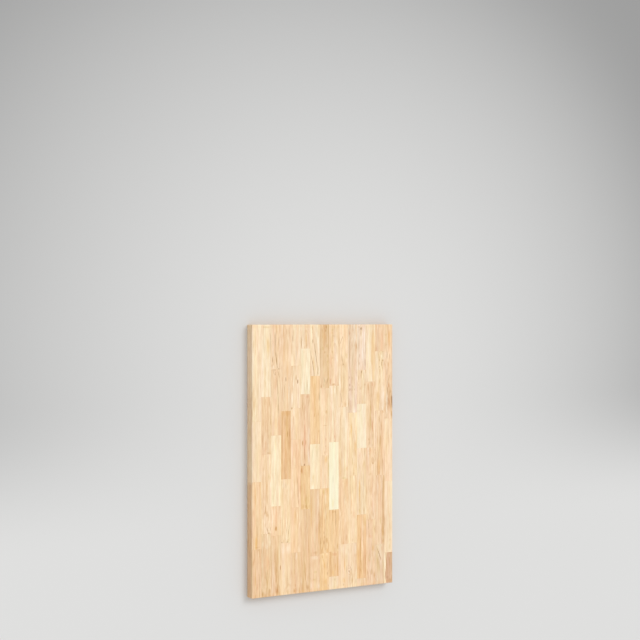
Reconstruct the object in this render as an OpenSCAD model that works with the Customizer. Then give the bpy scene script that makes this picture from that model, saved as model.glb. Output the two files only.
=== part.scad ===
// Butcher block countertop, glued up from short hardwood staves.
// The staves are finger jointed end to end into rows, and the rows are edge glued into one
// flat slab. It lies with its underside at z = 0, its length along Y and its width along X.
// Rows count from the -X edge, and staves count from the far (+Y) end.

/* [Slab] */
// Length of the slab, along the staves
slab_l = 1016; // [450:1:3000]
// Width of the slab, across the rows
slab_w = 635; // [300:1:1000]
// Thickness of the slab
slab_t = 38.1; // [18:0.1:60]
// Radius that eases every outer arris
ease_r = 3; // [1:0.5:8]

/* [Staves] */
// Width of a stave; the two outer rows are ripped narrower to suit the slab
stave_w = 42.8; // [34:0.1:70]
// Shortest stave end left beyond the last joint of a row
min_stub = 25; // [20:1:60]

/* [Finger joints] */
// Length of a finger, along the stave
finger_l = 11; // [6:0.5:16]
// Spacing aimed at between fingers, up the thickness
finger_pitch = 4.8; // [3.8:0.1:8]
// Flat at the tip and at the root of a finger
finger_tip = 0.8; // [0.4:0.1:1.4]

/* [Hidden] */
$fn = 48;

// Wood tones, from sapwood to heartwood
CREAM = "#fceac7";
PALE = "#f9dcb8";
HONEY = "#f7d6ae";
ROSE = "#f2cda3";
AMBER = "#eac194";

// The cut list: [length, tone] of each stave, one line for each row. A row longer than its
// line starts the line again, and its last stave is cut off at the end of the slab.
CUT_LIST = [
    [[360, PALE], [225, PALE], [250, ROSE], [250, ROSE]],
    [[270, PALE], [214, ROSE], [296, HONEY], [250, ROSE]],
    [[168, HONEY], [247, HONEY], [265, CREAM], [110, HONEY], [250, ROSE]],
    [[325, HONEY], [256, AMBER], [239, PALE], [250, HONEY]],
    [[156, PALE], [159, PALE], [119, PALE], [256, HONEY], [170, HONEY], [250, ROSE]],
    [[91, HONEY], [173, CREAM], [271, ROSE], [165, ROSE], [320, AMBER]],
    [[196, PALE], [259, ROSE], [171, CREAM], [254, ROSE], [250, ROSE]],
    [[243, ROSE], [257, PALE], [126, HONEY], [248, ROSE], [250, ROSE]],
    [[235, HONEY], [216, PALE], [259, CREAM], [161, ROSE], [95, AMBER], [250, PALE]],
    [[318, PALE], [277, PALE], [251, HONEY], [250, HONEY]],
    [[341, HONEY], [244, PALE], [260, PALE], [250, PALE]],
    [[177, PALE], [131, PALE], [172, CREAM], [258, PALE], [247, ROSE], [250, HONEY]],
    [[223, PALE], [257, ROSE], [280, HONEY], [260, ROSE]],
    [[105, ROSE], [232, PALE], [253, ROSE], [270, ROSE], [250, ROSE]],
    [[369, ROSE], [246, PALE], [280, PALE], [250, AMBER]]
];

// Rows in the slab, and the width left for each of the two outer ones
rows = ceil(slab_w / stave_w);
outer_w = (slab_w - (rows - 2) * stave_w) / 2;

// A whole number of fingers fills the thickness, so a joint is one straight line on a face
fingers = round(slab_t / finger_pitch);
pitch = slab_t / fingers;

function row_width(r) = r == 1 || r == rows ? outer_w : stave_w;
function row_left(r) = -slab_w / 2 + (r == 1 ? 0 : outer_w + (r - 2) * stave_w);
function cuts(r) = CUT_LIST[(r - 1) % len(CUT_LIST)];

// Distances of the joints of row r from the far end of the slab
function joints(r, from = 0, i = 0) =
    let (at = from + cuts(r)[i % len(cuts(r))][0])
    at > slab_l - min_stub ? [] : [at, each joints(r, at, i + 1)];

// Outline of a joint, from the underside to the top face, as [y, z] points. Fingers of the
// far stave reach finger_l towards the near end, between those of the near stave.
function finger_line(y) = [
    [y, 0],
    for (k = [0 : fingers - 1]) each [
        [y, k * pitch + finger_tip / 2],
        [y - finger_l, (k + 0.5) * pitch - finger_tip / 2],
        [y - finger_l, (k + 0.5) * pitch + finger_tip / 2],
        [y, (k + 1) * pitch - finger_tip / 2]
    ],
    [y, slab_t]
];

// The end of a stave, at this distance from the far end: square at an end of the slab
function end_line(at) =
    let (y = slab_l / 2 - at)
    at == 0 || at == slab_l ? [[y, 0], [y, slab_t]] : finger_line(y);

function reversed(line) = [for (i = [len(line) - 1 : -1 : 0]) line[i]];

function row_node(r, which) = str("row_", r < 10 ? "0" : "", r, "_", which, "_staves");

module rounded_rectangle(a, b) {
    square([a - 2 * ease_r, b], center = true);
    square([a, b - 2 * ease_r], center = true);
    for (x = [-1, 1], y = [-1, 1])
        translate([x * (a / 2 - ease_r), y * (b / 2 - ease_r)]) circle(ease_r);
}

// The finished slab with every outer arris eased, which the staves are planed down to
module slab_outline() {
    translate([0, 0, slab_t / 2])
        intersection() {
            translate([0, 0, -slab_t / 2]) linear_extrude(slab_t) rounded_rectangle(slab_w, slab_l);
            rotate([90, 0, 90]) translate([0, 0, -slab_w / 2])
                linear_extrude(slab_w) rounded_rectangle(slab_l, slab_t);
            rotate([90, 0, 0]) translate([0, 0, -slab_l / 2])
                linear_extrude(slab_l) rounded_rectangle(slab_w, slab_t);
        }
}

// One stave of row r, between two distances from the far end of the slab
module stave(r, far, near) {
    translate([row_left(r), 0, 0]) rotate([90, 0, 90]) linear_extrude(row_width(r))
        polygon(concat(end_line(near), reversed(end_line(far))));
}

// Every second stave of row r. Neighbours along a row alternate between its two nodes.
module staves(r, first) {
    ends = [0, each joints(r), slab_l];
    for (i = [first : 2 : len(ends) - 2])
        color(cuts(r)[i % len(cuts(r))][1])
            intersection() {
                stave(r, ends[i], ends[i + 1]);
                slab_outline();
            }
}

module odd_staves(r) { staves(r, 0); }
module even_staves(r) { staves(r, 1); }

for (r = [1 : rows]) {
    odd_staves(r);
    even_staves(r);
}
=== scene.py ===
"""Looks of the butcher block countertop: bare sanded staves on a pale studio floor."""
import math
from collections import namedtuple

import bpy
from mathutils import Matrix, Vector


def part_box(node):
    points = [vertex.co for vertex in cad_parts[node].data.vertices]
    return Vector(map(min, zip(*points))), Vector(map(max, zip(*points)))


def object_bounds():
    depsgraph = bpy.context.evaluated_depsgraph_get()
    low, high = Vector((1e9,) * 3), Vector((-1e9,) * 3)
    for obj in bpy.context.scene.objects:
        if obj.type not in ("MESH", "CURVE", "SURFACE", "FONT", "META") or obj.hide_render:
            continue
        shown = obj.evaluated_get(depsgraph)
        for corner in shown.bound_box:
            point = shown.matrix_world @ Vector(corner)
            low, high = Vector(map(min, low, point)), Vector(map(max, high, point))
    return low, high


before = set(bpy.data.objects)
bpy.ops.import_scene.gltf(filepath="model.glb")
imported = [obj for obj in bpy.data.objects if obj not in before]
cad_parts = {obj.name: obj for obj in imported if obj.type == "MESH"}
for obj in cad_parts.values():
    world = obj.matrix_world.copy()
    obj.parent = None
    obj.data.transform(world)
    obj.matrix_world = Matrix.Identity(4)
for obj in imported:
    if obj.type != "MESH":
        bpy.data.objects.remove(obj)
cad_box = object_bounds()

MM = 0.001
LOW, HIGH = cad_box
SLAB = HIGH - LOW


# --- Reading the staves from the frame ----------------------------------------------------

Stave = namedtuple("Stave", "node low high")


def spans(node):
    """Lowest and highest y of each stave in a node, whose staves lie apart along y."""
    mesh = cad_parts[node].data
    faces = []
    for face in mesh.polygons:
        ys = [mesh.vertices[v].co.y for v in face.vertices]
        faces.append((min(ys), max(ys)))
    found = []
    for low, high in sorted(faces):
        if found and low < found[-1][1] + 1 * MM:
            found[-1][1] = max(found[-1][1], high)
        else:
            found.append([low, high])
    return found


def rows_of_staves():
    """The slab's rows from its -x edge, each a list of its staves from the far (+y) end."""
    rows = {}
    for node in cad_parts:
        left = round(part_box(node)[0].x / MM)
        staves = rows.setdefault(left, [])
        staves.extend(Stave(node, low, high) for low, high in spans(node))
    return [sorted(rows[left], key=lambda s: -s.high) for left in sorted(rows)]


ROWS = rows_of_staves()

# Of a finger joint: the length of a finger and the flat at its tip, and the fingers in the
# thickness. Neighbours overlap along y by a finger.
FINGER = ROWS[0][1].high - ROWS[0][0].low
FINGER_TIP = 0.8 * MM
FINGERS = 8


# --- Wood tones and the cut list ----------------------------------------------------------

TONES = {
    "ivory": (253, 243, 211),
    "cream": (252, 233, 199),
    "butter": (252, 229, 190),
    "milk": (250, 225, 189),
    "pale": (250, 222, 184),
    "maize": (251, 221, 178),
    "straw": (249, 217, 177),
    "ash": (246, 218, 190),
    "sand": (249, 213, 170),
    "honey": (246, 212, 172),
    "wheat": (246, 210, 165),
    "gilt": (246, 208, 158),
    "fawn": (240, 209, 176),
    "rose": (243, 207, 167),
    "tan": (240, 202, 158),
    "drab": (235, 202, 162),
    "ochre": (235, 198, 153),
    "copper": (242, 199, 149),
    "amber": (237, 194, 144),
}

# How the growth rings of a stave lie: where the pith is from the stave's middle, across and
# up, in mm, how fast it sinks along the stave, and how far the grain slants across it
Figure = namedtuple("Figure", "across up rise slant")
FIGURES = {
    "straight": Figure(95, -25, 0.01, 0.005),
    "fine": Figure(-105, 15, 0.0, -0.008),
    "cathedral": Figure(5, -32, 0.05, 0.0),
    "arch": Figure(-8, -36, -0.055, 0.01),
    "slanted": Figure(60, -40, 0.02, 0.10),
    "leaning": Figure(-60, -40, 0.02, -0.08),
    "feather": Figure(70, -40, 0.04, 0.34),
}

# Tone, figure and contrast of each stave, in the order of ROWS
CUT_LIST = [
    "pale straight 5, pale fine 4, wheat straight 5, tan cathedral 5",
    "milk straight 5, honey arch 6, straw straight 6, ochre cathedral 6",
    "rose arch 6, honey straight 5, butter fine 5, sand straight 5, tan straight 5",
    "honey straight 5, amber straight 6, maize leaning 5, straw cathedral 4",
    "pale slanted 5, pale leaning 5, straw arch 4, sand slanted 5, sand fine 5, tan fine 5",
    "pale cathedral 5, cream fine 5, rose straight 6, gilt slanted 6, tan straight 5",
    "pale slanted 5, gilt straight 5, butter leaning 4, tan straight 5, rose arch 4",
    "ochre arch 6, straw cathedral 5, straw straight 5, gilt cathedral 7, gilt slanted 6",
    "honey cathedral 6, pale fine 5, ivory fine 2, gilt straight 5, copper straight 6, pale arch 4",
    "straw arch 5, pale straight 5, sand cathedral 5, straw straight 5",
    "fawn cathedral 7, maize slanted 5, maize straight 5, pale arch 5",
    "ash straight 6, pale leaning 7, cream arch 3, pale fine 6, copper fine 6, rose straight 5",
    "milk fine 4, honey straight 6, honey arch 6, rose cathedral 6",
    "rose straight 5, pale cathedral 6, rose fine 6, rose straight 5, drab feather 6",
    "rose arch 6, straw straight 5, pale fine 4, milk straight 6",
]

# What a mark or a knot does to the wood's own colour
TINTS = {
    "light": (1.05, 1.12, 1.22),
    "gold": (0.95, 0.86, 0.68),
    "olive": (0.89, 0.88, 0.73),
    "rosy": (0.97, 0.88, 0.84),
    "grey": (0.85, 0.82, 0.78),
    "umber": (0.80, 0.75, 0.68),
    "brown": (0.82, 0.72, 0.58),
    "red": (0.88, 0.72, 0.64),
    "heart": (0.77, 0.62, 0.55),
    "dark": (0.64, 0.54, 0.45),
}

# Streaks and soft patches on the top face, by row and tint. The numbers of each are the place
# of its middle, in mm from the slab's -x edge and far end, its size across and along, its
# strength, and where needed how far it leans and bows to +x on its way to the near end, and
# the share of its half width over which it fades out.
Mark = namedtuple("Mark", "tint x y wide long strength lean bow fade", defaults=(0, 0, 0.7))
MARKS = [
    # Row 1
    "light: 25 6 10 44 1.7, 4 330 7 80 0.9, 29 380 16 46 0.6, 7 640 5 160 1.5, 31 640 8 110 0.6, "
    "7 740 5 120 0.9, 29 848 9 40 0.9; "
    "gold: 13 292 9 90 0.4, 14 640 9 120 0.6, 18 812 13 74 1.3, 13 942 8 120 0.6; "
    "rosy: 13 82 9 90 0.8, 13 212 9 80 0.6, 23 972 6 50 0.7; "
    "grey: 24 532 3 110 0.9 2; "
    "umber: 16 432 5 60 0.8, 31 962 4 100 1; "
    "brown: 6 80 9 54 0.9, 15 345 7 36 0.3, 23 495 8 60 0.4, 33 755 6 50 0.4, 22 765 18 50 0.5, "
    "22 828 26 12 0.5, 10 985 7 50 0.5, 32 1002 8 36 0.6",
    # Row 2
    "light: 53 72 6 60 1, 48 112 9 130 0.2, 55 190 5 110 0.7, 70 315 5 60 0.8, 70 395 6 40 0.6, "
    "62 440 6 50 0.8, 59 560 6 80 0.9, 47 570 6 90 0.8, 43 682 6 60 1.2, 45 730 8 120 0.9, "
    "72 764 6 14 1.2, 78 792 7 50 0.8, 56 795 12 40 0.8, 46 804 13 90 1.4, 66 804 32 80 1.8, "
    "64 840 16 60 1.2, 44 868 9 190 2; "
    "gold: 69 76 18 100 0.6, 70 120 14 200 0.3, 55 182 8 50 0.5; "
    "olive: 72 566 8 34 0.9; "
    "rosy: 58 442 12 28 0.7, 54 468 9 31 0.6, 65 894 26 90 1; "
    "umber: 79 68 4 80 1, 51 76 4 70 0.9, 46 422 5 130 0.8, 79 762 4 30 1.4 -4, 65 766 4 24 1.6 4, "
    "72 778 14 7 1.8, 64 932 5 50 1 -3; "
    "brown: 61 10 42 10 0.5, 73 30 6 60 0.4, 80 72 4 120 0.3, 64 78 4 100 0.8 -2, 72 86 4 80 0.7, "
    "50 135 9 60 0.3, 59 292 4 50 0.4 13 3, 76 294 6 60 0.8, 78 295 6 60 0.5, 66 300 3 44 0.4 11 3, "
    "57 330 10 50 0.4, 62 350 4 50 0.8, 79 354 6 60 1, 69 480 18 12 0.7, 52 515 6 70 0.9, "
    "68 515 7 80 0.3, 78 536 5 120 0.9, 58 552 6 130 0.2, 70 575 5 40 0.5, 55 652 6 21 0.5, "
    "63 656 16 50 0.4, 55 675 8 100 0.6, 58 690 9 40 0.6, 53 702 6 18 0.5, 63 706 9 36 1, "
    "68 712 7 17 0.5, 70 715 9 70 0.6, 56 746 5 24 0.9, 75 755 6 50 0.5, 76 905 6 90 0.6 -4, "
    "59 922 5 30 0.6, 69 945 6 40 0.6, 64 968 7 60 1.2, 63 990 9 36 0.7, 76 994 7 23 0.7, "
    "42 1000 5 50 1.1, 46 1004 6 21 0.8, 48 1005 15 30 0.6",
    # Row 3
    "light: 120 6 9 34 1.4, 86 40 8 100 0.7, 99 60 7 90 1.1, 120 66 9 100 1.6, 91 98 15 80 1.7, "
    "91 158 9 21 1.5, 92 350 8 50 0.6, 98 626 6 130 1.3, 109 655 6 60 0.9, 97 695 10 50 0.9, "
    "121 700 6 90 0.7, 84 704 5 70 1.3, 88 722 9 84 1.6, 119 726 11 80 0.6, 121 820 6 110 1, "
    "86 830 8 200 1.9, 118 872 6 150 0.8, 102 890 8 80 0.6, 89 946 9 140 1.3, 86 980 6 80 0.9, "
    "85 1004 8 40 1.4; "
    "gold: 99 222 15 90 0.3, 102 372 12 80 0.4, 102 456 12 60 0.4; "
    "rosy: 115 374 8 100 0.9, 115 562 8 120 0.5, 90 576 8 60 0.6, 104 724 14 84 0.9; "
    "grey: 90 472 4 120 0.9, 90 646 4 60 0.9; "
    "umber: 115 62 4 52 1.6, 100 66 5 100 1.9 2 -2, 87 132 5 38 1.8 2, 105 132 5 74 2 9 -1, "
    "108 160 8 18 0.6, 115 166 9 9 1.5, 95 170 20 5 0.9, 93 180 4 26 1.2 9, 101 182 4 18 0.9 -7, "
    "113 184 4 44 1.2 14, 109 226 5 90 1.5 6, 113 302 5 100 1.5 3; "
    "brown: 105 20 12 50 1, 85 155 5 22 1.1, 96 405 5 40 0.4, 94 455 6 70 0.4, 90 545 8 110 0.6, "
    "90 630 6 110 0.4, 121 650 5 100 0.4, 102 764 12 24 1.5, 95 765 6 50 0.6, 116 885 5 40 0.5, "
    "103 892 18 220 0.5, 103 930 13 150 0.6 8, 113 965 9 120 0.8, 108 992 13 60 0.9 3, "
    "101 993 7 36 0.7, 116 996 6 70 1.1; "
    "red: 107 996 8 26 1; "
    "heart: 121.5 912 5 30 1.6",
    # Row 4
    "light: 133 8 12 44 1.5, 142 40 5 60 0.9, 131 66 10 130 1.5, 159 226 8 120 1.1, 135 250 5 100 0.8, "
    "160 255 10 160 1.2, 165 376 5 120 1.2, 136 442 8 74 0.8, 137 600 7 40 1, 132 606 9 30 1.5, "
    "147 606 8 40 1, 156 612 11 34 0.7, 161 625 8 50 0.8, 156 650 10 80 1.1, 157 770 5 50 0.9 -8, "
    "136 844 22 44 0.7, 158 844 30 48 1.1; "
    "gold: 136 122 6 140 0.6, 153 176 8 110 0.4, 153 266 8 80 0.5, 147 334 50 26 0.5, "
    "148 566 14 30 0.4; "
    "rosy: 129 122 6 180 0.8, 129 206 7 31 0.8, 147 492 12 130 0.4; "
    "grey: 129 264 3 110 0.9; "
    "umber: 137 266 4 110 0.9, 126.5 594 4 22 0.5, 138 604 4 34 0.8, 146 604 4 34 1.6, "
    "149 770 4.5 100 1 -14, 158 778 4.5 104 1 -16, 129 818 9 9 1.4, 152 818 15 8 1.2; "
    "brown: 153 26 22 50 0.5, 163 34 9 80 0.7, 149 36 5 50 0.7, 165 55 5 40 0.4, 127 165 4 100 0.4, "
    "140 236 5 60 0.7, 141 250 6 110 0.6, 139 300 5 60 0.8, 145 360 6 100 0.4, 146 362 6 60 0.7, "
    "162 406 8 44 0.9, 153 410 8 40 0.9, 153 412 8 36 0.6, 157 455 7 70 0.4, 128 462 4 240 1.1, "
    "163 482 7 220 0.4, 164 486 8 240 0.4, 131 530 6 110 0.4, 131 765 9 80 0.5, 129 800 6 44 0.9, "
    "160 810 6 30 0.9, 154 813 16 18 0.6, 136 814 6 30 0.9, 149 950 28 90 0.3, 151 972 8 80 0.5, "
    "154 1003 14 26 0.6; "
    "dark: 146 206 7 20 0.8",
    # Row 5
    "light: 207 14 7 40 1.4, 204 92 14 140 0.7, 194 122 7 80 1.1, 180 200 14 110 1.2, "
    "202 204 5 13 0.8, 175 276 7 80 0.8, 173 285 8 60 0.8, 170 290 5 100 1.2, 170 376 5 160 1.2, "
    "200 380 8 70 0.7, 174 440 9 200 0.9, 185 520 8 60 1.4, 177 590 14 200 0.8, 198 715 7 80 0.9, "
    "192 872 10 60 1.3, 171 900 6 120 0.9, 192 900 11 150 1.4; "
    "gold: 185 726 10 84 1, 192 906 7 104 0.5; "
    "rosy: 179 476 12 64 0.5, 201 562 24 290 0.6; "
    "grey: 175 52 6 36 1.4; "
    "umber: 192 104 4.5 100 0.9 -11 2, 192 204 4 22 0.8 0 -4, 172 316 9 12 1.4, 198 624 4 130 1.7 8 2; "
    "brown: 180 44 6 60 0.8, 197 45 5 50 0.3, 172 90 8 120 0.5, 186 110 6 40 0.4, 192 200 8 31 0.6, "
    "205 214 5 50 0.6, 184 290 5 60 0.3, 205 300 6 40 0.4, 180 362 8 70 0.9, 191 430 7 50 0.8, "
    "206 475 4 60 0.4, 192 595 7 110 0.5, 203 680 6 60 0.5, 205 742 5 24 0.5, 204 812 5 80 0.9, "
    "203 905 7 90 0.7, 182 906 5 130 0.8, 202 970 5 40 0.4, 187 984 7 20 0.8, 186 1002 24 28 0.6, "
    "183 1004 7 17 0.8, 204 1004 8 36 0.9; "
    "red: 194 506 4 130 0.9 1, 209 596 4 130 0.8; "
    "dark: 197 216 7 22 1.2",
    # Row 6
    "light: 213 12 8 50 1.6, 246 68 5 60 0.8, 220 70 4 80 0.9, 241 135 6 60 0.5, 227 240 4 50 0.8, "
    "220 295 4 50 0.8, 250 372 5 100 1.1, 247 450 9 200 1.8, 245 510 8 60 1.5 6, 229 562 6 80 1.6, "
    "241 585 5 40 0.6, 248 730 5 90 1.5, 240 775 10 110 1.2, 251 930 4 110 1.2, 213 970 7 50 1.4, "
    "218 980 8 60 1.2; "
    "gold: 235.5 56 9 80 0.9; "
    "olive: 233.5 674 19 60 0.7; "
    "rosy: 224.5 100 10 26 0.6, 243.5 436 13 210 0.5, 227.5 450 22 44 0.6, 243.5 862 15 290 0.4; "
    "umber: 214.5 62 4.5 66 1.7 0 2, 227.5 236 5 64 0.7, 239.5 242 5 64 1.6, 229 492 4 90 0.9, "
    "241.5 776 4 130 0.4, 249.5 932 5 160 1; "
    "brown: 236 50 7 60 0.3, 213 65 5 60 0.3, 236.5 82 6 26 0.7, 234 235 6 80 0.5, 232 262 4 60 0.7, "
    "251 282 4 40 0.9, 246.5 292 8 50 0.7, 219.5 302 8 66 0.7, 227 315 8 110 0.6, 227 350 8 50 0.6, "
    "234.5 446 5 24 1.2, 218.5 448 6 22 1.4, 219 485 6 120 0.4, 212.5 544 5 40 1, 214 570 5 80 0.6, "
    "215.5 612 5 160 0.8, 245 655 7 80 0.4, 222 690 7 24 1.1, 232 690 8 20 0.5, 246 690 7 22 0.5, "
    "252 692 3 40 1.2, 226 860 10 90 0.4, 229.5 916 8 126 0.8, 232 957 10 40 0.7, 244 985 8 80 0.5, "
    "236 988 7 60 0.8, 242.5 996 13 26 0.7; "
    "red: 242.5 274 18 17 0.5, 230.5 312 7 29 0.5, 229.5 402 4 120 1, 228.5 412 8 260 0.6, "
    "228.5 486 7 110 0.5, 216.5 552 7 34 1, 219.5 994 8 44 0.3; "
    "dark: 227.5 532 8 13 1",
    # Row 7
    "light: 280 4 14 24 1.3, 284 32 10 90 1.7, 288.5 74 13 88 1, 294 276 5 100 1.5, 292 310 6 120 1.1, "
    "269 425 6 60 0.7, 295 448 4 90 1.5, 257.5 576 6 100 0.6, 261 638 8 40 0.8, 284 646 8 60 1.3, "
    "288 670 12 100 1.3, 284 715 12 130 1.2, 273.5 782 9 180 0.6, 276.5 888 38 20 1.2, "
    "293 985 5 90 1.2, 259.5 992 9 26 0.8, 289.5 1000 11 29 0.6, 293 1000 6 50 1.7; "
    "gold: 272 156 12 120 0.7 20, 274.5 326 14 270 0.4, 279.5 466 10 22 0.5, 266.5 582 10 30 0.6, "
    "261.5 606 9 31 0.6, 258.5 706 9 150 0.9, 292.5 786 9 190 1; "
    "olive: 276.5 942 24 13 0.7, 269.5 970 20 13 0.7; "
    "umber: 263.5 24 4 46 0.6, 264.5 64 7 22 1.4, 279.5 124 4.5 175 1.9 28, 264.5 151 4.5 120 1.7 21, "
    "288 176 8 52 1.2 -8, 293.5 272 5 54 1.3, 264.5 492 4 54 0.6, 284.5 492 4 54 0.9, "
    "293.5 752 5 130 1.2; "
    "brown: 262.5 12 8 20 0.6, 268 58 5 30 0.4, 256 85 5 80 0.6, 259 104 6 90 0.7, 274 196 5 36 0.7, "
    "288 225 5 80 0.4, 274.5 262 12 130 0.3, 289.5 342 6 22 0.6, 272.5 346 6 20 0.7, "
    "258 355 5 100 0.5, 291.5 406 6 20 0.6, 268 475 7 50 0.3, 268 590 10 70 0.5, 284 595 6 60 0.3, "
    "287 860 8 60 0.6, 276.5 868 26 14 0.5, 266 965 8 50 0.4, 282 968 6 40 0.4",
    # Row 8
    "light: 335 90 5 70 0.8, 299 100 5 120 0.6, 335 125 5 40 0.6, 324.5 206 7 18 0.8, "
    "318 212 8 24 0.8, 298 262 5 130 0.9, 309.5 294 11 104 0.6, 299 460 5 80 1, 320 648 9 60 1.5, "
    "308 654 6 60 1.6, 322 690 14 130 1.5, 331 694 7 60 1.4, 301 720 7 70 1, 324 738 9 70 1.9, "
    "307 865 6 22 0.8, 334 990 6 50 1, 334 1004 7 50 1.3; "
    "gold: 316.5 46 24 38 0.4, 325.5 514 20 40 0.9, 326.5 696 11 38 0.6, 329.5 864 10 21 0.8, "
    "316.5 916 10 48 0.8 9, 321.5 982 13 29 0.6; "
    "olive: 329.5 82 9 17 0.8, 309.5 92 10 17 0.8, 331.5 120 9 17 0.8, 330.5 142 9 17 0.7, "
    "335.5 550 5 110 1.4, 313.5 640 15 26 0.7; "
    "rosy: 318.5 192 18 34 0.6, 328.5 276 13 70 0.6, 328.5 364 13 46 0.6, 323.5 438 10 17 1; "
    "grey: 330.5 920 5 38 1.2; "
    "umber: 318 214 4 30 1.4 8, 331 214 4 30 1.4 -8; "
    "brown: 326.5 10 8 17 1, 322.5 24 8 13 0.7, 308 28 7 54 1.1, 300.5 102 6 72 0.6, "
    "319.5 106 8 14 0.7, 315 234 8 18 0.4, 302.5 236 9 12 0.6, 325.5 334 11 22 0.8, 323 378 7 40 0.4, "
    "319.5 386 30 6 0.5, 323.5 466 7 14 0.6, 318.5 490 7 17 0.7, 335 508 6 50 0.7, 328 545 8 50 0.3, "
    "301 625 6 70 0.9, 308.5 668 5 36 0.3, 302.5 772 6 17 0.7, 304 780 5 40 0.5, 330 790 7 50 0.6, "
    "316.5 812 6 13 0.7, 329.5 822 7 20 0.6, 299.5 832 5 90 0.8, 300.5 832 6 17 0.6, 304 832 5 24 0.5, "
    "308.5 886 10 20 0.7, 327 888 12 26 0.6, 310 893 9 36 0.7; "
    "dark: 315.5 796 6 18 0.4, 315.5 832 6 20 0.4, 329.5 952 6 18 0.7, 335.5 998 6 12 0.3",
    # Row 9
    "light: 366 72 8 80 1.5, 372 132 19 170 0.7, 379 196 5 100 1.1, 377 222 6 36 0.9, "
    "351 252 7 32 0.9, 363 252 6 32 0.9, 371 285 7 110 1, 355 352 5 180 0.6, 374 352 8 180 0.5, "
    "379 390 4 40 0.6, 342 395 5 120 0.8, 341 428 5 60 1.2, 357 760 6 80 0.7, 352 822 12 90 0.5, "
    "347 925 7 80 1, 377 992 8 28 0.6; "
    "gold: 363 10 17 16 0.6, 356 684 13 42 0.5, 367 932 9 38 0.6, 357 952 13 31 0.7; "
    "olive: 356 20 13 12 0.6; "
    "rosy: 351 32 20 14 0.6, 347 130 14 76 1.1, 347 352 7 200 0.8, 364 392 7 136 0.9, "
    "371 796 12 58 0.6; "
    "grey: 359 44 15 14 0.6, 356 592 9 36 0.5, 364 978 10 14 0.8; "
    "umber: 368 736 4 120 1.4; "
    "brown: 371 18 10 30 0.4, 343 20 6 50 0.3, 353 36 9 90 0.6, 350 85 9 160 0.5, 353 106 6 14 0.7, "
    "353 128 6 14 0.7, 351 180 6 110 0.8, 359 230 24 12 1, 344 270 6 110 0.5, 359 315 6 110 0.5, "
    "358 355 6 60 0.5, 372 400 5 40 0.4, 364 448 6 9 0.7, 359 560 4 160 0.2, 361 718 40 13 0.5, "
    "344 810 7 140 0.5, 376 852 8 29 0.6, 363 863 12 26 0.6, 345 922 6 90 0.3, 376 922 6 90 0.3, "
    "358 932 7 40 0.5, 378 988 4 40 0.6, 362 1002 6 36 0.4; "
    "red: 345 218 9 30 0.9, 364 432 6 22 0.6, 363 882 34 18 0.6",
    # Row 10
    "light: 384 196 5 90 1.1, 388 215 11 130 1.3, 397 215 6 120 1.5, 397 280 9 110 1.8, "
    "398 310 11 26 1.2, 403 395 6 70 0.6, 415 412 16 170 0.5, 404 520 8 160 0.8, 410 670 7 80 1.2, "
    "415 672 8 60 1.3, 418 705 8 60 0.9, 421 710 7 80 1.5, 414 754 13 32 0.7, 390 862 8 36 0.9, "
    "399 866 13 30 0.7, 405 870 8 60 0.6, 417 878 10 32 0.8; "
    "gold: 390 556 10 100 0.6, 419 556 9 28 0.8, 410 926 9 64 0.9, 406 986 15 26 0.8; "
    "olive: 418 122 11 32 0.8, 410 558 6 31 0.4, 408 592 34 12 0.7; "
    "rosy: 420 616 9 34 0.8; "
    "grey: 408 672 13 120 0.4, 418 946 4 64 1.5; "
    "umber: 396 58 4 44 1.8 -18, 384 64 4 40 0.8 -10, 399 122 5 84 1.3 11 -4, 403 154 9 13 1.2, "
    "406 224 5 170 0.7, 391 290 4 64 1.6 0 7; "
    "brown: 402 72 6 60 0.4 -10, 411 100 6 60 0.3, 394 130 5 30 0.4, 414 160 8 50 0.5 -8, "
    "412 308 9 29 0.8, 394 345 6 40 0.5, 391 380 8 70 0.6, 388 405 6 60 0.4, 391 416 7 190 0.6, "
    "415 450 6 40 0.4, 389 500 5 120 0.5, 416 572 6 60 0.6, 402 603 8 18 0.4, 390 662 9 136 0.6, "
    "410 745 6 50 0.6, 390 775 8 110 0.8, 418 822 13 38 0.6, 405 1002 10 13 0.8",
    # Row 11
    "light: 446 6 26 30 0.9, 455 10 8 60 1.7, 457 50 7 90 1.2, 458 60 13 50 0.6, 443 80 6 30 0.8, "
    "433 100 5 24 0.8, 441 210 5 22 0.8, 447 245 6 18 0.8, 428 300 5 110 1.6, 431 335 11 120 1.3, "
    "454 352 7 70 1.7, 457 400 7 180 1.6, 428 450 6 220 2, 435 570 7 100 0.7, 453 596 13 26 0.8, "
    "441 606 6 42 0.9, 430 690 10 120 0.7, 428 728 6 90 1.2, 456 864 5 60 1.7, 461 868 11 60 1.2, "
    "441 882 24 80 0.4, 429 905 5 60 0.9, 440 940 6 20 0.8; "
    "gold: 441 414 8 76 1.2, 457 472 17 56 0.9 2, 455 554 12 60 0.6, 466 892 7 120 0.9; "
    "olive: 446 350 18 21 0.2; "
    "rosy: 457 152 22 110 0.6, 442 692 6 90 1.2, 455 736 24 38 0.5; "
    "grey: 433 116 9 200 1, 447 132 6 130 0.9, 454 296 4 66 1, 460 302 3 56 0.9, 447 634 4 66 1, "
    "437 646 4 96 0.3, 457 882 6 84 0.2, 462 994 11 26 0.6; "
    "umber: 433 206 7 18 1.2, 444 208 7 20 0.7, 433 234 7 14 1.2, 447 242 9 16 0.6 3, "
    "434 252 7 16 1.2, 444 252 6 16 1.2, 455 252 7 18 1.2; "
    "brown: 441 45 14 40 0.3, 466 84 5 30 0.9, 447 178 6 50 1, 456 220 7 80 0.5, 455 280 6 60 0.3, "
    "436 360 5 70 0.7, 434 426 7 40 0.9, 446 470 14 130 0.7, 452 494 6 50 0.8, 458 500 8 31 0.5, "
    "440 504 6 50 0.7, 446 534 6 40 0.9, 450 555 6 90 0.9, 452 578 9 18 0.5, 451 650 5 80 0.4, "
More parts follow.
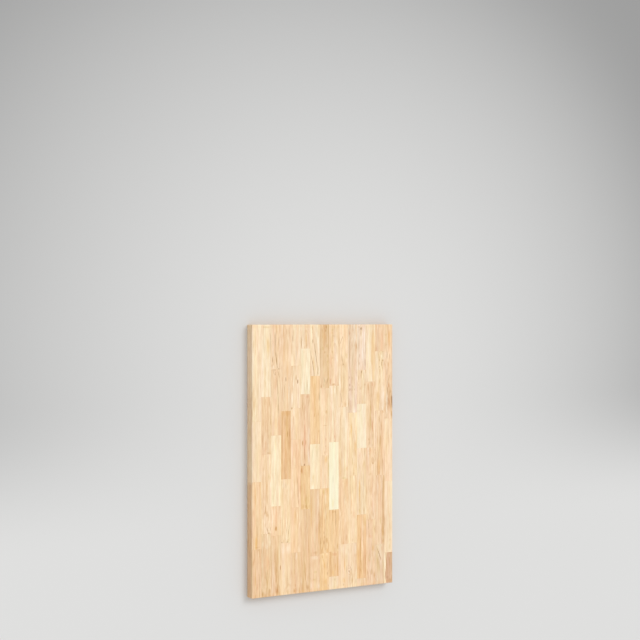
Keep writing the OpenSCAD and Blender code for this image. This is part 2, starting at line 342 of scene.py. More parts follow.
    "441 728 7 17 0.5, 444 755 7 60 0.4, 457 790 6 110 0.4, 446 814 5 66 0.9, 428 832 6 30 0.4, "
    "445 835 6 24 0.6, 440 962 6 40 0.9, 433 985 9 70 0.8, 443 990 8 36 1.2, 446 992 7 60 0.8; "
    "red: 433 34 9 26 0.8, 440 1000 11 16 0.5; "
    "dark: 437 942 5 28 0.9 10 3",
    # Row 12
    "light: 502 50 8 60 0.8, 492 120 15 104 0.9, 506 200 7 60 1.5, 490 296 34 24 0.6, "
    "507 420 4 120 0.5, 504 510 8 80 0.8, 487 605 6 80 1.4, 489 652 7 180 0.6, 482 705 7 50 0.7, "
    "505 766 7 30 0.9, 493 776 6 110 1.2, 496 800 8 110 1.1, 483 836 5 50 1.2, 491 864 6 250 1, "
    "505 905 5 80 0.9, 481 1000 9 21 0.6; "
    "gold: 489 300 40 16 0.2, 478 642 8 130 1.2, 475 902 8 160 0.6; "
    "olive: 486 198 6 26 0.8, 499 546 5 44 1.5, 477 564 6 64 1.4, 479 724 7 26 1.1, 505 766 13 44 0.7; "
    "rosy: 501 264 12 30 0.5, 496 402 12 96 0.3, 479 508 11 28 0.7; "
    "grey: 475 62 9 70 0.2, 507 94 6 76 1.4, 478 122 7 18 1, 478 152 7 18 1, 505 152 8 46 1.2, "
    "509 198 5 60 0.8, 500 366 7 20 0.5, 502 502 4 46 1.2, 497 616 6 96 1.4, 498 816 4 96 0.4; "
    "brown: 477 10 15 12 0.5, 475 20 10 50 0.4, 489 28 10 50 0.4 -6, 508 28 4 60 0.6, 484 34 7 50 0.9, "
    "470 65 5 100 0.6, 507 66 7 80 0.6, 475 96 9 170 0.5, 476 170 8 100 0.5, 486 196 8 50 0.7, "
    "474 200 8 110 0.5, 498 204 5 50 0.9, 474 206 6 23 0.5, 492 214 5 31 0.4 -5, 474 234 7 16 0.6, "
    "504 234 9 12 0.6, 476 245 5 70 0.3, 482 250 5 26 0.9 -5, 491 395 6 50 0.3, 478 525 5 36 0.4, "
    "498 562 6 30 0.4, 475 590 6 70 0.4, 509 662 5 116 0.9, 498 695 7 110 0.7, 499 722 8 50 1.1, "
    "484 874 6 230 1.4, 472 900 5 100 0.4, 492 915 10 110 0.5, 498 926 6 120 0.8, 485 930 5 60 0.9, "
    "505 930 11 140 0.6, 486 960 5 50 0.9; "
    "dark: 485 16 12 18 1.2, 487 184 7 14 0.9",
    # Row 13
    "light: 522.5 114 22 300 0.9, 545 150 6 100 0.6, 552 292 6 140 0.9, 513 400 5 180 1.1, "
    "549.5 402 9 130 0.8, 535 450 6 40 0.6, 512 456 4 90 1.4, 545 484 6 30 1.4, 520 494 8 60 1.5, "
    "520 525 9 110 1.1, 538.5 560 18 28 0.3, 549.5 730 9 66 0.8, 523 840 6 40 0.8, 547 885 10 90 1.3, "
    "526 905 7 36 1.2, 549.5 908 6 80 1.7; "
    "gold: 543.5 120 22 230 0.9 0 0 0.3, 542.5 872 12 32 0.7; "
    "olive: 537.5 140 5 60 1.4, 529.5 372 12 180 1.3 -3, 524.5 910 13 52 0.8; "
    "rosy: 541.5 324 8 29 0.8, 531.5 494 20 30 0.8, 539.5 706 14 60 0.7 -3, 530.5 826 24 17 0.8, "
    "542.5 926 8 84 0.9; "
    "grey: 541.5 436 5 32 1.4, 524.5 462 10 22 0.8, 540.5 470 9 14 0.6, 521.5 782 7 42 1, "
    "522.5 844 11 29 0.2; "
    "brown: 512 20 4 50 0.9, 532 30 7 60 0.3, 518.5 242 10 36 1, 529.5 264 28 84 0.4, "
    "532 310 9 80 0.9, 544 375 7 50 0.3, 522.5 448 8 14 0.9, 519 465 6 30 0.5, 551.5 490 7 12 0.8, "
    "551.5 502 7 12 0.7, 522.5 504 7 12 0.6, 549 515 5 24 1.1, 551.5 528 4 36 1.4 -4, "
    "540.5 530 18 34 0.6 0 0 0.4, 540.5 542 14 10 0.8, 528.5 584 17 17 0.5, 521 622 7 60 0.6, "
    "551.5 660 8 30 0.8, 534 700 10 60 0.5, 523.5 730 5 60 1, 537 736 7 40 0.8, 543.5 746 4 34 1, "
    "525 748 6 36 0.6, 551.5 802 8 40 0.8, 536 935 8 50 0.6, 534.5 964 15 28 0.8, "
    "517.5 970 4 48 1.5 5, 547.5 976 8 36 0.9, 522 990 8 36 0.6; "
    "red: 538.5 234 11 20 0.8, 539.5 398 5 64 1.5",
    # Row 14
    "light: 565 6 12 40 1.5, 563 60 7 120 1.2, 591.5 121 26 38 1.6 0 0 0.4, 569 128 6 36 1, "
    "588 132 10 56 0.9, 589.5 152 5 10 1, 587.5 290 18 116 0.8, 594 300 4 100 1.1, 572 310 10 60 0.9, "
    "588 335 12 60 0.9, 556 400 5 160 1, 558 448 7 60 1.4, 576 460 5 50 1.3, 563 506 6 50 1.2, "
    "555 534 5 80 1.6, 593 562 5 60 1.3, 578 602 6 40 1.1, 566 636 9 110 1.9, 579 650 6 140 0.9, "
    "562 690 13 240 1.3, 557 776 7 100 1.7, 566 912 6 60 1.2, 594.5 916 5 130 1.2 0 -4, "
    "576 936 5 100 0.8 22 4, 562 998 14 60 2; "
    "gold: 566.5 292 17 116 0.7, 569.5 554 15 84 0.9, 588.5 814 13 70 0.8; "
    "olive: 567.5 124 13 36 0.7, 570.5 482 7 96 1.1, 577.5 766 9 52 1.1, 560.5 918 5 100 1 12, "
    "569.5 950 4 100 1.2 16 3, 592.5 960 4.5 90 1.2 8 3 0.5; "
    "rosy: 585.5 62 15 104 0.9, 582.5 492 12 62 0.7, 578.5 656 7 150 0.9, 583.5 878 12 26 0.9; "
    "grey: 585.5 542 8 60 0.8; "
    "umber: 572.5 140 4 12 1.4, 589 141 10 6 1, 594 152 4 20 1.2 0 2, 584.5 155 4 34 1.4 2 -4, "
    "572.5 166 4 11 1.4, 570.5 899 5 74 1.7 28 2; "
    "brown: 581 25 9 50 0.4, 594 55 3 90 0.6, 561.5 62 8 110 0.5, 576 80 8 70 0.4, 580 114 6 26 1.2, "
    "574.5 130 3 32 1.4, 555 150 4 130 0.6, 572.5 188 8 42 0.6, 574 222 8 50 0.9, 566 225 10 90 0.6, "
    "591 226 7 90 0.8, 562.5 282 3 50 0.9, 589.5 342 8 14 0.8, 570.5 374 5 52 1.4, 580.5 394 5 62 1.4, "
    "571.5 402 6 70 1.1, 577.5 450 11 80 1, 586 450 7 90 0.4, 563.5 554 5 84 0.7, 592 606 8 60 1.1, "
    "589.5 636 12 96 0.5, 590.5 726 13 290 0.8 0 0 0.3, 594 790 3 130 0.6, 583 796 6 60 0.7, "
    "585 835 13 80 0.7, 568 840 10 50 0.3, 593 848 6 50 1.3; "
    "red: 558.5 96 8 21 0.5, 572.5 582 10 22 0.6, 592.5 758 8 50 0.4, 585.5 850 12 29 0.5, "
    "578.5 918 7 22 0.9",
    # Row 15
    "light: 606 118 5 26 0.8, 602 124 9 44 0.8, 614 124 6 36 0.9, 630 130 6 80 1.5, 604 178 6 40 0.8, "
    "605 312 15 110 1.7, 600 352 7 40 1.6, 627 376 9 17 0.8, 602 384 9 26 0.8, 609 425 6 60 0.9, "
    "600 570 6 80 0.9, 613 752 8 40 0.6, 614 770 8 90 0.6, 620 906 12 24 1; "
    "gold: 619 52 15 96 1, 623 442 12 40 0.4; "
    "olive: 604 70 9 76 1; "
    "rosy: 620 656 8 60 0.8, 622 750 8 26 1; "
    "grey: 607 188 13 38 0.6 -6, 611 426 4 52 0.5; "
    "umber: 609 120 4 50 1.8, 620 124 4 40 1.2, 616 220 5 78 0.9 -28 -4 0.6, 610 265 5 50 1, "
    "609 294 5 112 0.9 10 -7 0.6, 613 302 5 50 1.4 4; "
    "brown: 627 30 12 80 0.3, 603 38 6 50 0.3, 605 80 6 14 0.8, 613 154 8 32 0.9, 611 262 5 50 0.9, "
    "622 285 20 130 0.8, 624 328 5 50 1, 629 352 9 34 1.2, 623 410 6 60 0.3, 614 575 7 70 0.4, "
    "597.5 622 4 60 1.1, 608 624 5 31 0.5, 628 710 8 80 0.2, 597.5 796 4 130 1.1, 622 846 10 16 0.4, "
    "621 872 8 40 0.5, 602 914 8 50 0.5, 616 994 5 30 0.8, 630 994 8 36 0.8, 622 1006 24 26 0.8; "
    "red: 616 238 8 28 0.9, 619 304 5 64 1.4 6; "
    "heart: 621.5 958 42 190 0.95 0 0 0.15, 600 980 9 64 0.9; "
    "dark: 627 264 9 14 0.3, 632 296 8 76 1.3 2, 631 946 6 120 0.3, 605 952 4 110 0.1 0 -3, "
    "608 992 12 18 0.5",
]

# Knots: place of the middle, as above, radius of the knot in mm, and its strength
Knot = namedtuple("Knot", "x y radius strength")
KNOTS = [
    Knot(100, 188, 3.0, 0.5),
    Knot(430, 953, 4.5, 0.8),
]


def read_marks(text):
    """The Marks of a row, from its text in MARKS."""
    marks = []
    for part in text.split(";"):
        tint, listed = part.split(":")
        for numbers in listed.split(","):
            marks.append(Mark(tint.strip(), *map(float, numbers.split())))
    return marks


def linear(rgb):
    """The linear colour of 8-bit sRGB numbers."""
    return [((c / 255 + 0.055) / 1.055) ** 2.4 for c in rgb]


# --- Building node trees ------------------------------------------------------------------


class Nodes:
    """Adds nodes to one tree. Most methods return the new node's main output."""

    def __init__(self, tree):
        self.tree = tree

    def put(self, kind, *values, **settings):
        """A node with settings, its open sockets fed in order from values; None skips one."""
        node = self.tree.nodes.new(kind)
        for name, value in settings.items():
            setattr(node, name, value)
        sockets = [s for s in node.inputs if s.enabled]
        for socket, value in zip(sockets, values):
            self.feed(socket, value)
        return node

    def feed(self, socket, value):
        if isinstance(value, bpy.types.NodeSocket):
            self.tree.links.new(value, socket)
        elif value is not None:
            socket.default_value = value

    def group(self, tree, **values):
        """A node of a group, its sockets fed by name."""
        node = self.put("ShaderNodeGroup", node_tree=tree)
        for name, value in values.items():
            self.feed(node.inputs[name], value)
        return node.outputs

    def math(self, operation, *values):
        return self.put("ShaderNodeMath", *values, operation=operation).outputs[0]

    def vector(self, operation, *values):
        node = self.put("ShaderNodeVectorMath", *values, operation=operation)
        return node.outputs["Value" if operation == "LENGTH" else "Vector"]

    def add(self, *values):
        total = values[0]
        for value in values[1:]:
            total = self.math("ADD", total, value)
        return total

    def times(self, *values):
        product = values[0]
        for value in values[1:]:
            product = self.math("MULTIPLY", product, value)
        return product

    def split(self, vector):
        return list(self.put("ShaderNodeSeparateXYZ", vector).outputs)

    def join(self, x, y, z):
        return self.put("ShaderNodeCombineXYZ", x, y, z).outputs[0]

    def ease(self, value, start, end, low=0.0, high=1.0):
        """A smooth step from low at start to high at end."""
        node = self.put("ShaderNodeMapRange", value, start, end, low, high)
        node.interpolation_type = "SMOOTHSTEP"
        return node.outputs[0]

    def mix(self, factor, a, b, blend="MIX"):
        """Colours a and b mixed; a factor outside 0 to 1 goes on past them."""
        node = self.tree.nodes.new("ShaderNodeMix")
        node.data_type, node.blend_type, node.clamp_factor = "RGBA", blend, False
        for name, value in (("Factor_Float", factor), ("A_Color", a), ("B_Color", b)):
            socket = next(s for s in node.inputs if s.identifier == name)
            self.feed(socket, value)
        return next(s for s in node.outputs if s.identifier == "Result_Color")

    def tint(self, colour, factor, tint):
        """A colour multiplied by a tint, as far as factor says."""
        return self.mix(factor, colour, self.mix(1.0, colour, (*tint, 1), "MULTIPLY"))

    def noise_node(self, place, detail, roughness):
        node = self.put("ShaderNodeTexNoise", place)
        for name, value in (("Scale", 1.0), ("Detail", detail), ("Roughness", roughness)):
            node.inputs[name].default_value = value
        return node

    def noise(self, place, detail=1.0, roughness=0.5):
        """Noise about 0, mostly between -0.3 and 0.3."""
        return self.math("SUBTRACT", self.noise_node(place, detail, roughness).outputs["Fac"], 0.5)

    def noises(self, place, detail=1.0, roughness=0.5):
        """Three such noises."""
        colour = self.noise_node(place, detail, roughness).outputs["Color"]
        return self.split(self.vector("SUBTRACT", colour, (0.5, 0.5, 0.5)))


def new_group(name, inputs, outputs):
    """An empty shader group: its builder, the sockets of its inputs and its output node."""
    tree = bpy.data.node_groups.new(name, "ShaderNodeTree")
    for side, names in (("INPUT", inputs), ("OUTPUT", outputs)):
        for label, kind in names.items():
            tree.interface.new_socket(label, in_out=side, socket_type="NodeSocket" + kind)
    n = Nodes(tree)
    return n, n.put("NodeGroupInput").outputs, n.put("NodeGroupOutput").inputs


# --- The wood -----------------------------------------------------------------------------

# Ranges of the numbers of a Figure, which a colour ramp holds as 0 to 1
PITH_RANGE = 240.0
SLOPE_RANGE = 0.8

# How far a mark drifts to +x on its way down, and what is left of it at the underside
MARK_DRIFT = 0.4
MARK_BELOW = 0.3

# What multiplies the wood's own colour where its grain is dark, golden or pink, in its open
# vessels and along its glue lines
GRAIN_DARK = (0.82, 0.69, 0.54)
GRAIN_GOLD = (1.03, 1.0, 0.86)
GRAIN_PINK = (1.01, 0.93, 0.97)
VESSEL = (0.70, 0.58, 0.44)
GLUE = (0.70, 0.55, 0.38)

# The same for the slab's end grain and the sealer at its ends, and the painted light on its long sides
# and arrises
END_GRAIN = (0.80, 0.70, 0.58)
# painted light: the long side faces are painted lighter and cooler, as they look when lit
LONG_SIDE_PAINTED_LIGHT = (1.02, 1.06, 1.15)
SEALED = (0.995, 0.975, 0.94)
# painted highlight along the eased arrises
ARRIS_PAINTED_HIGHLIGHT = (1.03, 1.08, 1.14)
SEALED_REACH = 14 * MM

# Bump of the bare wood: the depth of its open vessels
VESSEL_DEPTH = 0.05 * MM


def grain_group():
    """The grain of a stave. Place is in mm from its middle, Seed is three random numbers of
    its own, Pith and Slant are its Figure, and Push is how far a knot bends the grain."""
    n, given, out = new_group(
        "grain",
        {"Place": "Vector", "Seed": "Vector", "Pith": "Vector", "Slant": "Float", "Push": "Float"},
        {"Shade": "Float", "Gold": "Float", "Pink": "Float", "Vessels": "Float", "Fibre": "Float"},
    )
    place, seed = given["Place"], given["Seed"]
    across, up, rise = n.split(n.vector("SUBTRACT", given["Pith"], (0.5, 0.5, 0.5)))
    slant = n.times(n.math("SUBTRACT", given["Slant"], 0.5), SLOPE_RANGE)
    here = n.vector("ADD", place, n.vector("SCALE", seed, 2000.0))

    def stretched(wide, long):
        """A place for noise that is so many mm wide and long."""
        return n.vector("MULTIPLY", here, (1 / wide, 1 / long, 1 / wide))

    # Distance from the pith, which wanders along the stave
    x, y, z = n.split(place)
    sway = n.times(n.noise(stretched(50, 200), detail=2.0), 22.0)
    heave = n.times(n.noise(stretched(60, 150), detail=2.0), 24.0)
    from_pith_x = n.add(x, n.times(across, -PITH_RANGE), n.times(slant, y), sway, given["Push"])
    from_pith_z = n.add(z, n.times(up, -PITH_RANGE), n.times(rise, SLOPE_RANGE, y), heave)
    ring = n.vector("LENGTH", n.join(from_pith_x, from_pith_z, 0.0))
    ring = n.math("MULTIPLY_ADD", n.noise(stretched(9, 60)), 2.0, ring)

    # Bands that follow the rings, each fading in and out along the stave
    own, along = n.times(n.split(seed)[0], 97.0), n.times(y, 1 / 260)
    bands = n.noise(n.join(n.times(ring, 1 / 8.0), along, own), detail=3.0, roughness=0.6)
    lines = n.noise(n.join(n.times(ring, 1 / 3.0), along, own), detail=1.0)
    lines = n.ease(lines, 0.08, 0.26)
    drifts = n.noise(stretched(18, 190), detail=1.0)
    streaks = n.noise(stretched(7, 260), detail=2.0)
    flecks = n.noise(stretched(5.5, 42), detail=2.0)
    fibre = n.noise(stretched(0.45, 26), detail=1.0)
    shade = n.add(
        n.times(bands, 3.4), n.times(lines, 0.9), n.times(drifts, 1.6), n.times(streaks, 2.8),
        n.times(flecks, 3.2), -0.15,
    )
    n.feed(out["Shade"], n.math("MULTIPLY_ADD", fibre, 0.8, shade))
    n.feed(out["Fibre"], fibre)
    gold, pink, _ = n.noises(stretched(12, 200), detail=2.0)
    n.feed(out["Gold"], gold)
    n.feed(out["Pink"], pink)

    def dashes(wide, long):
        """Dark dashes in about half of the cells of this size."""
        cells = n.put("ShaderNodeTexVoronoi", stretched(wide, long))
        cells.inputs["Scale"].default_value = 1.0
        keep = n.ease(n.split(cells.outputs["Color"])[0], 0.45, 0.9)
        return n.times(n.ease(cells.outputs["Distance"], 0.10, 0.22, 1.0, 0.0), keep)

    # Vessels: dashes cut open along the grain, and pores on the end grain
    fine = n.times(dashes(0.5, 6), 0.6)
    n.feed(out["Vessels"], n.math("MAXIMUM", dashes(0.8, 14), fine))
    return n.tree


def mark_group():
    """How much of a Mark there is at a place, both in mm from the slab's middle. Middle and
    Size hold its numbers, Core is the share of it that is full, and Grain tears its edge."""
    n, given, out = new_group(
        "mark",
        {"Place": "Vector", "Middle": "Vector", "Size": "Vector", "Lean": "Float", "Core": "Float",
         "Grain": "Float"},
        {"Amount": "Float"},
    )
    x, y, up = n.split(n.vector("SUBTRACT", given["Place"], given["Middle"]))
    wide, long, bow = n.split(given["Size"])
    share = n.math("DIVIDE", y, long)
    bent = n.times(bow, n.math("SUBTRACT", 0.5, n.times(share, share)))
    x = n.add(x, n.times(given["Lean"], share), n.times(up, MARK_DRIFT))
    across = n.math("DIVIDE", n.math("SUBTRACT", x, bent), wide)
    reach = n.vector("LENGTH", n.join(across, share, 0.0))
    tear = n.times(given["Grain"], n.math("SUBTRACT", 1.0, given["Core"]))
    reach = n.math("MULTIPLY_ADD", tear, 1.3, reach)
    kept = n.ease(up, -SLAB.z / MM, 0.0, MARK_BELOW, 1.0)
    n.feed(out["Amount"], n.times(n.ease(reach, 1.0, given["Core"]), kept))
    return n.tree


def knot_group():
    """A small knot, drawn out along the grain, at a place in mm. Push is how far it bends
    the grain aside, Core its dark heart and Rings the light and dark rings about it."""
    n, given, out = new_group(
        "knot",
        {"Place": "Vector", "Middle": "Vector", "Radius": "Float", "Grain": "Float"},
        {"Push": "Float", "Core": "Float", "Rings": "Float"},
    )
    x, y, _ = n.split(n.vector("SUBTRACT", given["Place"], given["Middle"]))
    x = n.math("DIVIDE", x, given["Radius"])
    y = n.math("DIVIDE", y, n.times(given["Radius"], 2.2))
    square = n.add(n.times(x, x), n.times(y, y))
    push = n.times(x, given["Radius"], n.math("DIVIDE", -1.0, n.add(square, 0.35)))
    reach = n.math("MULTIPLY_ADD", given["Grain"], 0.5, n.math("SQRT", square))
    n.feed(out["Push"], push)
    n.feed(out["Core"], n.ease(reach, 0.75, 0.2))
    waves = n.math("SINE", n.times(reach, 6.0))
    n.feed(out["Rings"], n.times(waves, n.ease(reach, 2.6, 0.5)))
    return n.tree


def ramp(n, along, stops):
    """Four numbers that change at given shares of the slab's length: (share, (r, g, b, a))."""
    node = n.put("ShaderNodeValToRGB", along)
    steps = node.color_ramp
    steps.interpolation = "CONSTANT"
    steps.elements.remove(steps.elements[-1])
    for k, (share, values) in enumerate(stops):
        step = steps.elements[0] if k == 0 else steps.elements.new(share)
        step.position, step.color = share, values
    return node.outputs


def seeds(row, number):
    """Three numbers from 0 to 1 of the stave's own."""
    k = row * 8 + number + 1
    return [math.modf(k * step)[0] for step in (0.7548776662, 0.5698402910, 0.4301597090)]


def numbers_of_staves(n, y, row, looks):
    """What each stave has of its own: its tone, contrast, seed, place and Figure, on sockets
    that change half way between the staves of a node. looks lists (number, stave, words)."""
    looks = sorted(looks, key=lambda look: look[1].low)
    starts = [LOW.y] + [(a[1].high + b[1].low) / 2 for a, b in zip(looks, looks[1:])]
    tones, seeded, figures = [], [], []
    for start, (number, stave, (tone, figure, contrast)) in zip(starts, looks):
        share = (start - LOW.y) / SLAB.y
        middle = ((stave.low + stave.high) / 2 - LOW.y) / SLAB.y
        f = FIGURES[figure]
        places = (f.across / PITH_RANGE, f.up / PITH_RANGE)
        slopes = (f.rise / SLOPE_RANGE, f.slant / SLOPE_RANGE)
        tones.append((share, (*linear(TONES[tone]), int(contrast) / 10)))
        seeded.append((share, (*seeds(row, number), middle)))
        figures.append((share, [0.5 + value for value in places + slopes]))
    along = n.math("DIVIDE", n.math("SUBTRACT", y, LOW.y), SLAB.y)
    return *ramp(n, along, tones), *ramp(n, along, seeded), *ramp(n, along, figures)


def glue_lines(n, point, left, right, joints):
    """Where glue shows: along the row's two sides, and along its finger joints."""
    x, y, z = n.split(point)
    beside = [n.math("ABSOLUTE", n.add(x, -side)) for side in (left, right)]
    # A joint meets both faces at its own y, and its fingers reach from there towards -y
    half_pitch = SLAB.z / FINGERS / 2
    rise = n.math("SUBTRACT", n.math("PINGPONG", n.add(z, -LOW.z), half_pitch), FINGER_TIP / 2)
    rise = n.math("DIVIDE", rise, half_pitch - FINGER_TIP)
    inside = n.math("MULTIPLY_ADD", n.math("MAXIMUM", n.math("MINIMUM", rise, 1.0), 0.0), FINGER, y)
    steep = (half_pitch - FINGER_TIP) / FINGER
    on_flank = n.math("COMPARE", rise, 0.5, 0.5)
    nearest = n.math("MINIMUM", *beside)
    for joint in joints:
        gap = n.math("ABSOLUTE", n.add(inside, -joint))
        gap = n.times(gap, n.math("MULTIPLY_ADD", on_flank, steep - 1, 1.0))
        nearest = n.math("MINIMUM", nearest, gap)
    return n.ease(nearest, 0.08 * MM, 0.28 * MM, 1.0, 0.0)


def outer_faces(n, colour, y):
    """What machining and finishing did to the slab's outer faces, with painted light on them: end
    grain drinks light, the long sides are painted lighter and cooler, the sealer brushed on the
    ends creeps in along the fibres, and the eased arrises carry a painted highlight."""
    normal = n.vector("ABSOLUTE", n.put("ShaderNodeTexCoord").outputs["Normal"])
    nx, ny, nz = n.split(normal)
    colour = n.tint(colour, n.ease(ny, 0.7, 0.98), END_GRAIN)
    # painted light on the long side faces, lighter and cooler
    colour = n.tint(colour, n.ease(nx, 0.7, 0.98), LONG_SIDE_PAINTED_LIGHT)
    from_end = n.math("SUBTRACT", HIGH.y, n.math("ABSOLUTE", y))
    colour = n.tint(colour, n.ease(from_end, SEALED_REACH, SEALED_REACH - 3 * MM), SEALED)
    flat = n.math("MAXIMUM", nz, n.math("MAXIMUM", nx, ny))
    # painted highlight: the eased arrises are made paler where their normal turns off the faces
    return n.tint(colour, n.ease(flat, 0.999, 0.95), ARRIS_PAINTED_HIGHLIGHT)


def wood_material(node, row, looks, marks, groups):
    """The material of one node, a row's odd or even staves."""
    mat = bpy.data.materials.new(f"wood_{node}")
    mat.use_nodes = True
    n = Nodes(mat.node_tree)
    n.tree.nodes.clear()
    low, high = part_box(node)
    point = n.put("ShaderNodeTexCoord").outputs["Object"]
    y = n.split(point)[1]
    numbers = numbers_of_staves(n, y, row, looks)
    tone, contrast, seed, middle, pith, slant = numbers
    centre_y = n.math("MULTIPLY_ADD", middle, SLAB.y, LOW.y)
    centre = n.join((low.x + high.x) / 2, centre_y, (LOW.z + HIGH.z) / 2)
    place = n.vector("SCALE", n.vector("SUBTRACT", point, centre), 1 / MM)
    on_slab = n.vector("SCALE", point, 1 / MM)

    def drawn_out(wide, long, detail=1.0):
        """Noise that is so many mm wide and long and runs on from stave to stave."""
        scale = (1 / wide, 1 / long, 1 / wide)
        return n.noise(n.vector("MULTIPLY", on_slab, scale), detail=detail)

    # The edges of the marks are torn along the grain, and their colour lies in strands
    torn = n.add(drawn_out(2.5, 45), drawn_out(3.0, 24))
    strands = n.math("MULTIPLY_ADD", drawn_out(1.1, 40, detail=2.0), 0.9, 1.0)

    def here(mark):
        """Whether a mark or knot lies on one of this node's staves."""
        x, y = LOW.x + mark.x * MM, HIGH.y - mark.y * MM
        return low.x < x < high.x and any(s.low < y < s.high for _, s, _ in looks)

    def spot(mark):
        """The middle of a mark or knot on the top face, in mm."""
        return (LOW.x / MM + mark.x, HIGH.y / MM - mark.y, HIGH.z / MM)

    knots = [
        (k, n.group(groups["knot"], Place=on_slab, Middle=spot(k), Radius=k.radius, Grain=torn))
        for k in filter(here, KNOTS)
    ]
    push = n.add(0.0, *(outputs["Push"] for _, outputs in knots))
    grain = n.group(groups["grain"], Place=place, Seed=seed, Pith=pith, Slant=slant, Push=push)

    colour = n.tint(tone, n.times(grain["Shade"], contrast), GRAIN_DARK)
    colour = n.tint(colour, n.times(grain["Gold"], 2.0), GRAIN_GOLD)
    colour = n.tint(colour, n.times(grain["Pink"], 2.4), GRAIN_PINK)
    for mark in filter(here, marks):
        size = (mark.wide / 2, mark.long / 2, mark.bow)
        amount = n.group(
            groups["mark"], Place=on_slab, Middle=spot(mark), Size=size, Lean=mark.lean / 2,
            Core=1 - mark.fade, Grain=torn,
        )["Amount"]
        colour = n.tint(colour, n.times(amount, mark.strength, strands), TINTS[mark.tint])
    for knot, outputs in knots:
        colour = n.tint(colour, n.times(outputs["Rings"], knot.strength * 0.6), TINTS["brown"])
        colour = n.tint(colour, n.times(outputs["Core"], knot.strength), TINTS["dark"])
    colour = n.tint(colour, n.times(grain["Vessels"], 0.7), VESSEL)
    joints = [s.low + FINGER for s in ROWS[row][:-1]]
    glue = glue_lines(n, point, low.x, high.x, joints)
    colour = n.tint(colour, n.times(glue, 0.5), GLUE)
    colour = outer_faces(n, colour, y)

    bsdf = n.put("ShaderNodeBsdfPrincipled")
    n.feed(bsdf.inputs["Base Color"], colour)
    n.feed(bsdf.inputs["Roughness"], n.math("MULTIPLY_ADD", grain["Fibre"], 0.25, 0.58))
    bsdf.inputs["Specular IOR Level"].default_value = 0.3
    bump = n.put("ShaderNodeBump")
    bump.inputs["Strength"].default_value = 0.5
    bump.inputs["Distance"].default_value = VESSEL_DEPTH
    n.feed(bump.inputs["Height"], n.math("SUBTRACT", n.times(grain["Fibre"], 0.5), grain["Vessels"]))
    n.feed(bsdf.inputs["Normal"], bump.outputs[0])
    n.put("ShaderNodeOutputMaterial", bsdf.outputs[0])
    return mat


def finish_staves():
    """Gives every node its wood."""
    groups = {"grain": grain_group(), "mark": mark_group(), "knot": knot_group()}
    for row, (staves, line, text) in enumerate(zip(ROWS, CUT_LIST, MARKS)):
        marks = read_marks(text)
        by_node = {}
        for number, (stave, words) in enumerate(zip(staves, line.split(","))):
            by_node.setdefault(stave.node, []).append((number, stave, words.split()))
        for node, looks in by_node.items():
            mat = wood_material(node, row, looks, marks, groups)
            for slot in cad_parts[node].material_slots:
                slot.material = mat


# --- The studio ---------------------------------------------------------------------------

FLOOR_PALE = linear((223, 223, 222))
# the grey of the painted shade on the floor
FLOOR_PAINTED_SHADE = linear((128, 128, 128))
FAR_GREY = linear((196, 196, 196))
FLOOR_RADIUS = 40.0

# How far the painted shade on the floor reaches: where its middle is and how far off it is
# # darkest, to the sides and behind, and how much of the painted shade grey there is at most.
# # Then where it turns to FAR_GREY.
DIM_ASIDE, DIM_ASIDE_REACH = 0.11, 2.33
DIM_BEHIND, DIM_BEHIND_REACH = 0.4, 2.1
DIM_MOST = 0.75
FAR_FROM, FAR_FULL = 3.0, 9.0


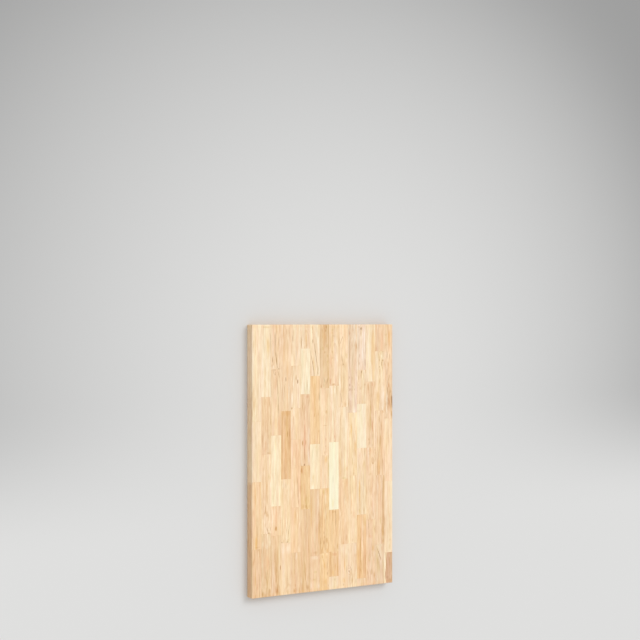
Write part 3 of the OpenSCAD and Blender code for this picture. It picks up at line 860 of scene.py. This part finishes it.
def studio_floor():
    """A pale floor with painted shade that darkens it softly to the sides of the slab and behind
    it. Far from the slab it is the grey of the background."""
    bpy.ops.mesh.primitive_circle_add(vertices=96, radius=FLOOR_RADIUS, fill_type="NGON")
    floor = bpy.context.object
    floor.name = "studio_floor"
    floor.location.z = LOW.z
    mat = bpy.data.materials.new("studio_grey")
    mat.use_nodes = True
    n = Nodes(mat.node_tree)
    place = n.put("ShaderNodeTexCoord").outputs["Object"]
    x, y, _ = n.split(place)
    aside = n.math("DIVIDE", n.add(x, -DIM_ASIDE), DIM_ASIDE_REACH)
    behind = n.math("MAXIMUM", n.add(y, -DIM_BEHIND), 0.0)
    behind = n.math("DIVIDE", behind, DIM_BEHIND_REACH)
    reach = n.add(n.times(aside, aside), n.times(behind, behind))
    # painted shade: the floor darkens softly to the sides of the slab and behind it
    painted_falloff = n.times(n.math("SMOOTH_MIN", reach, DIM_MOST, 0.3), n.ease(y, -0.3, 0.25))
    mottle = n.times(n.noise(place, detail=2.0), 0.02)
    near = n.mix(n.add(painted_falloff, mottle), (*FLOOR_PALE, 1), (*FLOOR_PAINTED_SHADE, 1))
    far = n.ease(n.vector("LENGTH", place), FAR_FROM, FAR_FULL)
    bsdf = n.tree.nodes["Principled BSDF"]
    n.feed(bsdf.inputs["Base Color"], n.mix(far, near, (*FAR_GREY, 1)))
    bsdf.inputs["Roughness"].default_value = 0.9
    bsdf.inputs["Specular IOR Level"].default_value = 0.1
    floor.data.materials.append(mat)


KEY_FROM = Vector((0.45, 0.6, 1.0))
KEY_STRENGTH = 0.95
KEY_ANGLE = math.radians(32)
WORLD_STRENGTH = 0.76


def studio_light():
    """Soft light from all round, and a broad key light from beyond the slab's far right."""
    world = bpy.data.worlds.new("studio")
    bpy.context.scene.world = world
    world.use_nodes = True
    n = Nodes(world.node_tree)
    n.tree.nodes.clear()
    path = n.put("ShaderNodeLightPath").outputs
    seen = n.math("MAXIMUM", path["Is Camera Ray"], path["Is Glossy Ray"])
    around = n.put("ShaderNodeBackground", (1, 1, 1, 1), WORLD_STRENGTH)
    behind = n.put("ShaderNodeBackground", (*FAR_GREY, 1), 1.0)
    mixed = n.put("ShaderNodeMixShader", seen, around.outputs[0], behind.outputs[0])
    n.put("ShaderNodeOutputWorld", mixed.outputs[0])

    key = bpy.data.lights.new("key", "SUN")
    key.energy, key.angle = KEY_STRENGTH, KEY_ANGLE
    lamp = bpy.data.objects.new("key", key)
    bpy.context.scene.collection.objects.link(lamp)
    lamp.rotation_euler = KEY_FROM.to_track_quat("Z", "Y").to_euler()


CAMERA_AT = (-3.004, 0.525, 4.758)
CAMERA_LEAN = math.radians(32.3)
CAMERA_LENS = 82.4


def studio_camera():
    """Looks down on the slab from its -x side, with the slab's far end upwards in the frame."""
    data = bpy.data.cameras.new("camera")
    data.sensor_width, data.lens = 36.0, CAMERA_LENS
    camera = bpy.data.objects.new("camera", data)
    bpy.context.scene.collection.objects.link(camera)
    right = Vector((math.cos(CAMERA_LEAN), 0, math.sin(CAMERA_LEAN)))
    up = Vector((0, 1, 0))
    axes = Matrix((right, up, right.cross(up))).transposed().to_4x4()
    camera.matrix_world = Matrix.Translation(CAMERA_AT) @ axes
    bpy.context.scene.camera = camera


studio_camera()
studio_light()
studio_floor()
finish_staves()
bpy.context.scene.view_settings.view_transform = "Standard"
